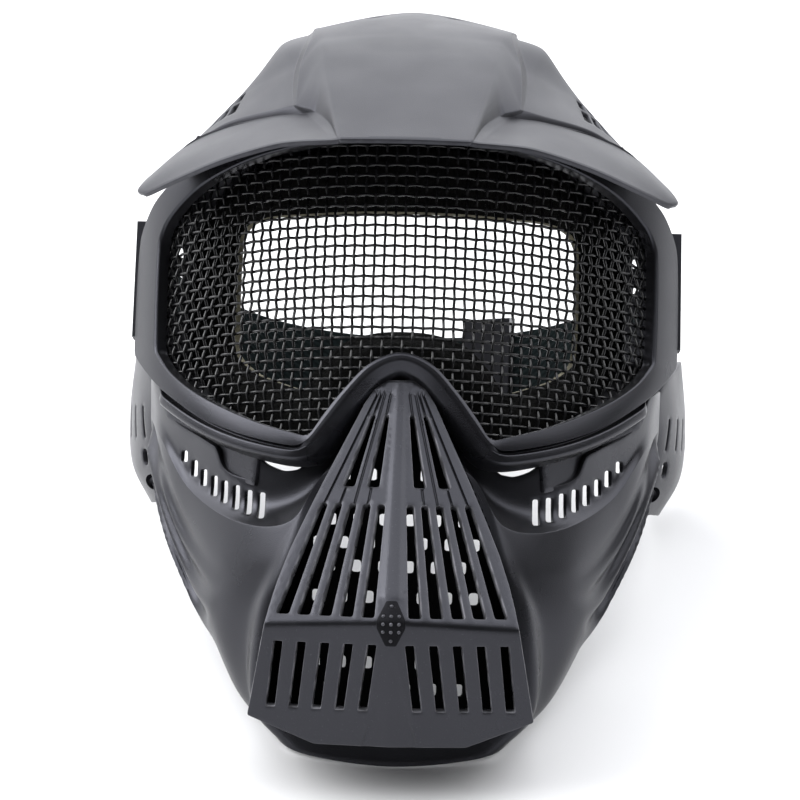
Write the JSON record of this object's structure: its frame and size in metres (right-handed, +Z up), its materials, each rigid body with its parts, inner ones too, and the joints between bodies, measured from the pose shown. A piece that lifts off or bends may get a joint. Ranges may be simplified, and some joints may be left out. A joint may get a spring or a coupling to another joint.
{
  "type": "mesh airsoft mask",
  "caption": "Full-face protective mask with a woven wire goggle lens, peaked visor and crown, slotted snout, ear guards, face foam and an elastic head strap.",
  "frame": {"origin": "middle of the footprint on the floor, where the mask rests on its chin and ear guards", "axes": "+Z up, -Y towards the viewer of the picture, so the face looks to -Y and a little up, +X to the right as the face is looked at"},
  "size_m": [0.2216, 0.2844, 0.2088],
  "materials": {
    "black_plastic": "moulded, fine matte grain",
    "black_wire": "black painted steel wire cloth",
    "foam": "open cell foam with a tan cloth edge",
    "elastic": "woven elastic webbing",
    "grey_plastic": "moulded, satin"
  },
  "bodies": {
    "root": {"goggle_rim": "black_plastic", "mesh_lens": "black_wire", "face_foam": "foam", "strap_anchor_left": "black_plastic", "strap_anchor_right": "black_plastic", "face_shell": "black_plastic", "snout_grille": "black_plastic", "ear_guard_left": "black_plastic", "ear_guard_right": "black_plastic", "ear_rivet_left": "black_plastic", "ear_rivet_right": "black_plastic", "visor_crown": "black_plastic", "head_strap": "elastic", "strap_slider": "grey_plastic"}
  },
  "joints": []
}
